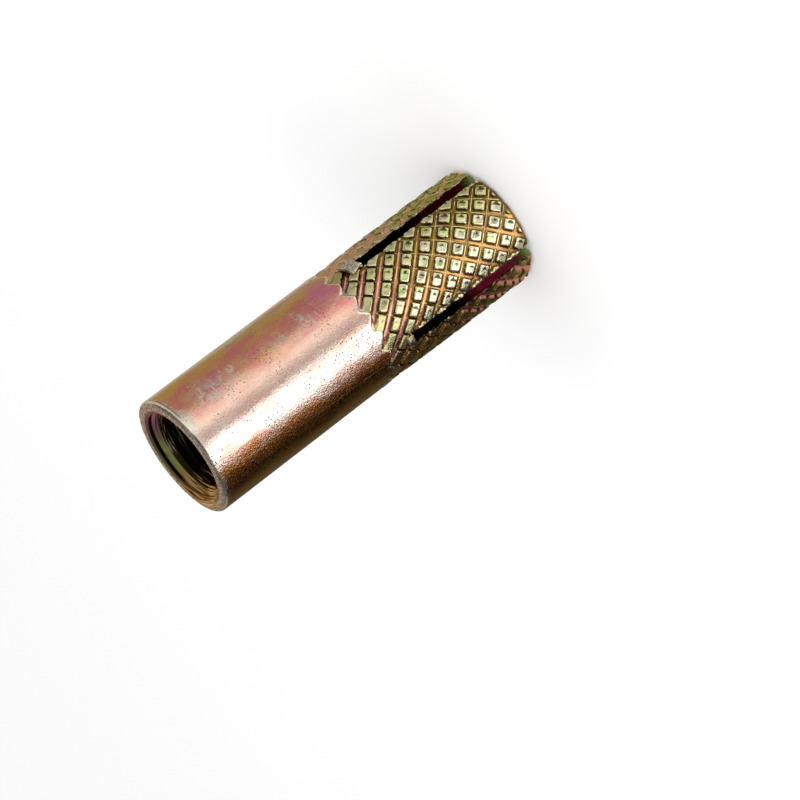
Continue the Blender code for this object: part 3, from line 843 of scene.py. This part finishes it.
    # fine turning lines are painted shining on one side of the lead-in as painted highlights; the thread is painted
    # nearly black as painted shade, with painted glints along some flanks
    round_it = add(tree, "ShaderNodeCombineXYZ", [radius, z, calc("MULTIPLY", angle, 0.35)])
    turned = add(tree, "ShaderNodeTexNoise", {"Vector": round_it, "Scale": 7.5, "Detail": 2.0, "Roughness": 0.5})
    lines = banded(turned, [(0.42, "#6c3408"), (0.48, "#e89c4c"), (0.56, "#ffe4a4")])
    golden_lit_side = between(degrees, 98.0, 158.0, 9.0)
    plate = tinted(plate, lines, eased(radius, 7.5, 6.9), golden_lit_side, eased(z, 48.6, 48.9), 0.95)
    thread_shade = product(inner, eased(z, 48.85, 48.70), 0.96)
    plate = tinted(plate, "#140e06", thread_shade)
    glint_streaks = add(tree, "ShaderNodeTexNoise", {"Vector": round_it, "Scale": 5.5, "Detail": 2.0})
    flank_glints = product(thread_shade, eased(glint_streaks, 0.50, 0.54), between(degrees, 84.0, 150.0, 10.0))
    plate = tinted(plate, "#ffc070", flank_glints)
    glints = product(thread_shade, eased(glint_streaks, 0.55, 0.60), between(degrees, -165.0, -100.0, 10.0), 0.7)
    plate = tinted(plate, "#d8c8a8", glints)

    # slot walls: film colour from green at the foot through pink, painted nearly black towards the closed end as
    # painted shade, with a brighter pink patch in one slot as painted light
    diagonal = calc("ABSOLUTE", calc("SUBTRACT", calc("ABSOLUTE", x), calc("ABSOLUTE", y)))
    wall = SLOT_WIDTH / MM / math.sqrt(2)
    in_slot = product(eased(diagonal, wall + 0.06, wall + 0.01), eased(z, SLOT_HEIGHT / MM + 0.04, SLOT_HEIGHT / MM),
                      eased(radius, 7.85, 7.6))
    slot_film_and_shade = banded(calc("DIVIDE", z, 20.0), [
        (0.05, "#b4c878"), (0.10, "#cc6c8c"), (0.40, "#c46084"), (0.62, "#30141c"),
    ])
    slot_film_and_shade = tinted(slot_film_and_shade, "#ffa0c4", between(degrees, 36.0, 60.0, 2.0), between(z, 2.0, 9.0, 1.5))
    plate = tinted(plate, slot_film_and_shade, in_slot)
    burr = product(between(diagonal, wall - 0.05, wall + 0.30, 0.05), eased(grain(2.4, 2.0, 44.0), 0.50, 0.58),
                   eased(radius, 7.60, 7.70), eased(z, SLOT_HEIGHT / MM, SLOT_HEIGHT / MM - 0.3), 0.85)
    plate = tinted(plate, "#d8d0b4", burr)
    tree.links.new(plate, shader.inputs["Base Color"])
    shader.inputs["Metallic"].default_value = 1.0
    shader.inputs["Specular Tint"].default_value = linear("#f2e0c4")

    # gloss varies with the film; scuffs and the rim are matt
    gloss = add(tree, "ShaderNodeMapRange",
                {"Value": grain(0.5, 4.0, 250.0), "From Min": 0.3, "From Max": 0.7, "To Min": 0.13, "To Max": 0.22})
    matt = calc("MAXIMUM", calc("MAXIMUM", scuffed, rim), product(inner, 0.8))
    rough = calc("MULTIPLY_ADD", matt, 0.24, gloss)
    tree.links.new(rough, shader.inputs["Roughness"])

    # orange-peel grain of the plating, 0.15 to 0.4 mm across, drawn a little coarser than the real one
    rougher = calc("MULTIPLY_ADD", between(degrees, 22.0, 62.0, 6.0), 1.1, 0.45)
    fine = product(grain(4.4, 2.0, 300.0, rough=0.6), rougher)
    coarse = grain(1.2, 2.0, 350.0, rough=0.5)
    relief = calc("MULTIPLY_ADD", coarse, 0.35, fine)
    relief = calc("SUBTRACT", relief, calc("MULTIPLY", pitted, 0.5))
    relief = calc("SUBTRACT", relief, calc("MULTIPLY", scuffed, 0.1))
    turning = product(calc("SINE", calc("MULTIPLY", radius, 2 * math.pi / 0.16)), inner, 0.1)
    relief = calc("ADD", relief, turning)
    bump = add(tree, "ShaderNodeBump", {"Height": relief, "Strength": 1.0, "Distance": 0.05 * MM})
    tree.links.new(bump, shader.inputs["Normal"])
    return material


def plain_zinc():
    """Electroplated zinc without a colour film: a dull grey metal with faint clouds."""
    material, tree, shader = new_material("plain_zinc")
    spot = add(tree, "ShaderNodeTexCoord").node.outputs["Object"]
    cloud = add(tree, "ShaderNodeTexNoise", {"Vector": spot, "Scale": 0.6 / MM, "Detail": 4.0})
    shade = ramp_stops(add(tree, "ShaderNodeValToRGB", [cloud]), [(0.35, "#8f8a7c"), (0.65, "#b8b19c")])
    tree.links.new(shade, shader.inputs["Base Color"])
    shader.inputs["Metallic"].default_value = 1.0
    gloss = add(tree, "ShaderNodeMapRange", {"Value": cloud, "To Min": 0.3, "To Max": 0.5})
    tree.links.new(gloss, shader.inputs["Roughness"])
    bump = add(tree, "ShaderNodeBump", {"Height": cloud, "Distance": 0.01 * MM})
    tree.links.new(bump, shader.inputs["Normal"])
    return material


# Stage, light and camera

def white_floor():
    """A wide white table top that keeps the anchor's soft shadow."""
    material, tree, shader = new_material("white_table")
    shader.inputs["Base Color"].default_value = linear("#f8f8f8")
    shader.inputs["Roughness"].default_value = 0.9
    shader.inputs["Specular IOR Level"].default_value = 0.0
    bm = bmesh.new()
    bmesh.ops.create_grid(bm, x_segments=1, y_segments=1, size=6.0)
    floor = mesh_object("white_floor", bm, material)


# Cards by where they show on the sleeve, in degrees from the front: start, brightness of the lying
# part, of the upright part, its height, and brightness of the ceiling on that side
CARD_DISTANCE = 0.45  # from the foot to the upright part
CARD_HEIGHT = 0.42
CARD_NEAR = 0.008  # the table stays bright this far from the foot
CARD_FOOT = 0.6
CARD_DARK = 0.14
CARDS = (
    (-90, 0.75, 0.75, 0.30, 0.40),
    (-72, 0.60, 0.95, 0.24, 0.25),
    (-42, 0.68, 0.80, 0.20, 0.30),
    (-27, 1.20, 1.20, 0.20, 0.40),
    (-19, 1.42, 1.40, 0.20, 0.45),
    (-8, 0.86, 0.94, 0.18, 0.45),
    (-2, 0.64, 0.66, 0.15, 0.45),
    (4.5, 1.90, 1.60, 0.20, 0.45),
    (27.5, 0.40, 0.40, 0.12, 0.35),
    (32, 0.20, 0.30, 0.14, 0.30),
    (43, 0.050, 0.25, 0.16, 0.25),
    (50, 0.002, 0.15, 0.20, 0.12),
    (58, 0.110, 0.45, 0.24, 0.20),
    (66, 0.19, 0.50, 0.26, 0.20),
    (80, 0.16, 0.50, 0.30, 0.25),
)


def studio_cards():
    """White, grey and black cards that stand round the anchor and show only in its reflections.

    Each card starts at the anchor's foot, lies on the table and bends up at its far end. Its edges
    follow the way that the camera's view is thrown by the upright wall, so that a card shows as an
    even band along the sleeve.
    """
    material = bpy.data.materials.new("studio_cards")
    material.use_nodes = True
    tree = material.node_tree
    tree.nodes.clear()
    brightness = add(tree, "ShaderNodeAttribute", attribute_name="brightness").node.outputs["Fac"]
    add(tree, "ShaderNodeOutputMaterial", [add(tree, "ShaderNodeEmission", {"Strength": brightness})])

    bm = bmesh.new()
    light = bm.faces.layers.float.new("brightness")
    ends = [card[0] for card in CARDS[1:]] + [CARDS[0][0] + 180]
    for (start, lying, upright, tall, ceiling), end in zip(CARDS, ends):
        steps = max(1, round((end - start) / 3))
        edges = [math.radians(start + (end - start) * step / steps) for step in range(steps + 1)]
        for left, right in zip(edges, edges[1:]):
            rows = []
            for angle in (left, right):
                foot = Vector((-math.sin(angle), -math.cos(angle), 0)) * BODY_R
                away = Vector((-math.sin(2 * angle), -math.cos(2 * angle), 0))
                far = foot + away * CARD_DISTANCE
                rows.append([bm.verts.new(place) for place in (
                    foot, foot + away * CARD_NEAR, far, far + Vector((0, 0, tall)),
                    far + Vector((0, 0, CARD_HEIGHT)), Vector((0, 0, CARD_HEIGHT)))])
            for k, shine in enumerate((max(lying, CARD_FOOT), lying, upright, CARD_DARK, ceiling)):
                bm.faces.new((rows[0][k], rows[1][k], rows[1][k + 1], rows[0][k + 1]))[light] = shine
    cards = mesh_object("studio_cards", bm, material)
    cards.location.z = 0.3 * MM
    cards.visible_camera = False
    cards.visible_diffuse = False
    cards.visible_shadow = False


def white_world():
    world = bpy.data.worlds.new("white_room")
    bpy.context.scene.world = world
    world.use_nodes = True
    background = world.node_tree.nodes["Background"]
    background.inputs["Color"].default_value = (1, 1, 1, 1)
    background.inputs["Strength"].default_value = 1.0


def softbox(name, direction, elevation, distance, size, power):
    """An area lamp that looks at the middle of the anchor from a direction round it, 0 at -Y."""
    lamp = bpy.data.lights.new(name, "AREA")
    lamp.shape = "DISK"
    lamp.size = size
    lamp.energy = power
    obj = bpy.data.objects.new(name, lamp)
    bpy.context.scene.collection.objects.link(obj)
    turn, rise = math.radians(direction), math.radians(elevation)
    way = Vector((-math.sin(turn) * math.cos(rise), -math.cos(turn) * math.cos(rise), math.sin(rise)))
    middle = Vector((0, 0, LENGTH / 2))
    obj.location = middle + way * distance
    obj.rotation_euler = way.to_track_quat("Z", "Y").to_euler()
    obj.visible_glossy = False


def camera():
    data = bpy.data.cameras.new("camera")
    data.lens = CAMERA_LENS
    data.sensor_width = SENSOR_WIDTH
    data.clip_start = 0.01
    obj = bpy.data.objects.new("camera", data)
    bpy.context.scene.collection.objects.link(obj)
    back = Vector((0, -math.cos(CAMERA_ELEVATION), math.sin(CAMERA_ELEVATION)))
    tilt = Matrix.Rotation(math.radians(90) - CAMERA_ELEVATION, 4, "X")
    roll = Matrix.Rotation(-CAMERA_ROLL, 4, "Z")
    obj.matrix_world = Matrix.Translation(CAMERA_AIM + back * CAMERA_DISTANCE) @ tilt @ roll
    bpy.context.scene.camera = obj


def main():
    camera()
    white_floor()
    studio_cards()
    white_world()
    softbox("key_softbox", 25, 52, 0.34, 0.20, 0.25)
    bpy.context.scene.view_settings.view_transform = "Standard"

    shell = plated_shell(yellow_chromate_zinc())
    plug = plated_plug(plain_zinc())
    for piece, node, finish in (
        (shell, "anchor_shell", "shell_plating"),
        (plug, "expander_plug", "plug_plating"),
    ):
        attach(piece, "root")
        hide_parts(node)


main()
